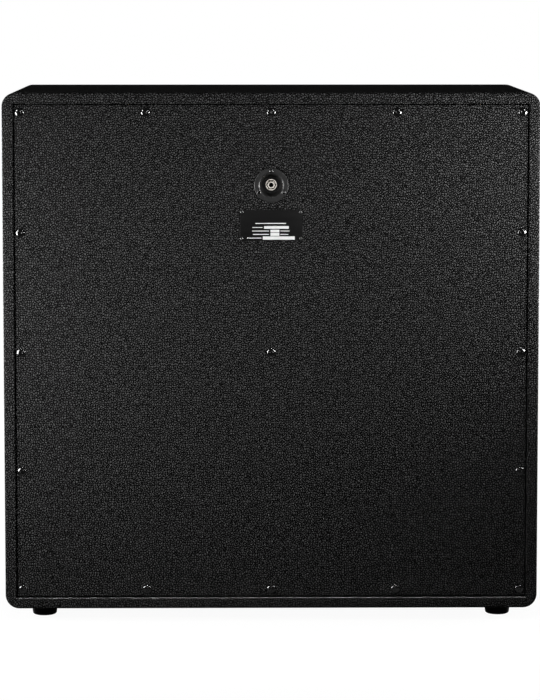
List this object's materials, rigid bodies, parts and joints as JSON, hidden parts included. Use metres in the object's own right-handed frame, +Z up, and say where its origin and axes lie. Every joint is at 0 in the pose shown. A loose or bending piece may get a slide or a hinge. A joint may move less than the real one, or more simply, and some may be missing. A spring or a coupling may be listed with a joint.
{
  "type": "guitar speaker cabinet",
  "caption": "Closed-back guitar speaker cabinet: vinyl-covered box with a screwed rear panel, jack in a cup, riveted plate, front grille cloth, swinging side handles and rubber feet.",
  "frame": {"origin": "on the floor under the middle of the box", "axes": "+X across the width, +Y from the grille to the rear panel, +Z up"},
  "size_m": [0.77, 0.356, 0.756],
  "materials": {
    "ply": "bare birch ply",
    "batten": "planed softwood",
    "black_vinyl": "pebbled vinyl cover",
    "black_screw": "gloss black",
    "zinc_steel": "zinc plated",
    "black_rubber": "moulded",
    "cup_plastic": "moulded gloss black",
    "nickel": "nickel plated",
    "phenolic": "laminate",
    "spring_bronze": "rolled strip",
    "plate_black": "satin printed",
    "grille_black": "woven cloth",
    "hook_tape": "hook and loop",
    "black_steel": "satin powder coat",
    "basket_grey": "hammered enamel",
    "ferrite": "ground ferrite",
    "cone_paper": "pressed pulp",
    "copper_wire": "enamelled winding",
    "doped_cloth": "pleated and doped",
    "spider_cloth": "resin-dipped weave",
    "cable_black": "flexible jacket"
  },
  "bodies": {
    "cabinet": {"top_board": "ply", "bottom_board": "ply", "left_side_board": "ply", "right_side_board": "ply", "cabinet_vinyl": "black_vinyl", "rear_panel": "ply", "rear_panel_vinyl": "black_vinyl", "rear_cleats": "batten", "rear_panel_screws": "black_screw", "centre_post": "batten", "front_baffle": "ply", "baffle_cleats": "batten", "baffle_screws": "zinc_steel", "grille_frame": "ply", "grille_cloth": "grille_black", "grille_fastener_pads": "hook_tape", "rubber_feet": "black_rubber", "foot_washers": "zinc_steel", "foot_screws": "zinc_steel", "jack_cup": "cup_plastic", "jack_cup_screws": "black_screw", "jack_frame": "nickel", "jack_washer": "nickel", "jack_nut": "nickel", "jack_insulator": "phenolic", "nameplate": "plate_black", "nameplate_pins": "black_screw", "left_handle_dish": "black_steel", "right_handle_dish": "black_steel", "handle_screws": "black_screw", "speaker_frames": "basket_grey", "speaker_gaskets": "black_rubber", "speaker_top_plates": "zinc_steel", "speaker_magnets": "ferrite", "speaker_yokes": "zinc_steel", "speaker_terminals": "phenolic", "speaker_bolts": "zinc_steel", "speaker_tee_nuts": "zinc_steel", "speaker_cables": "cable_black", "surround_upper_left": "doped_cloth", "spider_upper_left": "spider_cloth", "surround_upper_right": "doped_cloth", "spider_upper_right": "spider_cloth", "surround_lower_left": "doped_cloth", "spider_lower_left": "spider_cloth", "surround_lower_right": "doped_cloth", "spider_lower_right": "spider_cloth"},
    "left_handle": {"left_handle_bail": "zinc_steel", "left_handle_grip": "black_rubber"},
    "right_handle": {"right_handle_bail": "zinc_steel", "right_handle_grip": "black_rubber"},
    "cone_upper_left": {"cone_upper_left": "cone_paper", "voice_coil_upper_left": "copper_wire"},
    "cone_upper_right": {"cone_upper_right": "cone_paper", "voice_coil_upper_right": "copper_wire"},
    "cone_lower_left": {"cone_lower_left": "cone_paper", "voice_coil_lower_left": "copper_wire"},
    "cone_lower_right": {"cone_lower_right": "cone_paper", "voice_coil_lower_right": "copper_wire"},
    "jack_contact": {"jack_tip_spring": "spring_bronze"}
  },
  "joints": [
    {"name": "left_handle_swing", "type": "hinge", "parent": "cabinet", "child": "left_handle", "pos_m": [-0.371, 0, 0.4268], "axis": [0, 1, 0], "range_deg": [-30, 105]},
    {"name": "right_handle_swing", "type": "hinge", "parent": "cabinet", "child": "right_handle", "pos_m": [0.371, 0, 0.4268], "axis": [0, -1, 0], "range_deg": [-30, 105]},
    {"name": "cone_stroke_upper_left", "type": "slide", "parent": "cabinet", "child": "cone_upper_left", "axis": [0, 1, 0], "range_m": [-0.004, 0.004], "stiffness_N_per_m": 8800, "deforming": ["surround_upper_left", "spider_upper_left"]},
    {"name": "cone_stroke_upper_right", "type": "slide", "parent": "cabinet", "child": "cone_upper_right", "axis": [0, 1, 0], "range_m": [-0.004, 0.004], "stiffness_N_per_m": 8800, "deforming": ["surround_upper_right", "spider_upper_right"]},
    {"name": "cone_stroke_lower_left", "type": "slide", "parent": "cabinet", "child": "cone_lower_left", "axis": [0, 1, 0], "range_m": [-0.004, 0.004], "stiffness_N_per_m": 8800, "deforming": ["surround_lower_left", "spider_lower_left"]},
    {"name": "cone_stroke_lower_right", "type": "slide", "parent": "cabinet", "child": "cone_lower_right", "axis": [0, 1, 0], "range_m": [-0.004, 0.004], "stiffness_N_per_m": 8800, "deforming": ["surround_lower_right", "spider_lower_right"]},
    {"name": "jack_contact_flex", "type": "hinge", "parent": "cabinet", "child": "jack_contact", "pos_m": [0, 0.1365, 0.6154], "axis": [-1, 0, 0], "range_deg": [0, 10], "stiffness_Nm_per_rad": 0.05}
  ]
}
